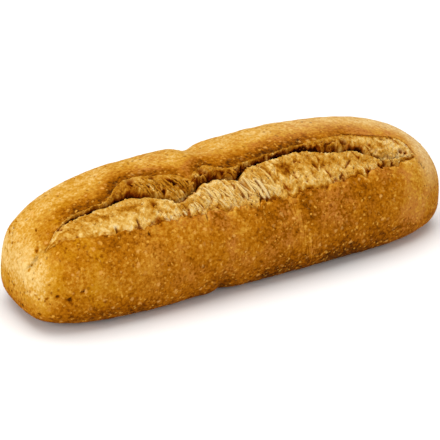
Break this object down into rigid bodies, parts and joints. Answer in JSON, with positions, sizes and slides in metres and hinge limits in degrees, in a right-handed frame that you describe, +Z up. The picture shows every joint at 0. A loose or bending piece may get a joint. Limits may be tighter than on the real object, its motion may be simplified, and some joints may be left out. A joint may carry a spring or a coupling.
{
  "type": "brown bread roll",
  "caption": "Long brown bread roll shaped as a short baton, with a flat base, rounded ends and one score along its top that tore open to show the crumb.",
  "frame": {"origin": "middle of the bounding box on the flat base", "axes": "+X along the roll, +Y away from the torn side, +Z up from the base"},
  "size_m": [0.2, 0.0632, 0.0496],
  "materials": {
    "crust": "matte golden-brown baked crust with bran flecks"
  },
  "bodies": {
    "root": {"roll": "crust"}
  },
  "joints": []
}
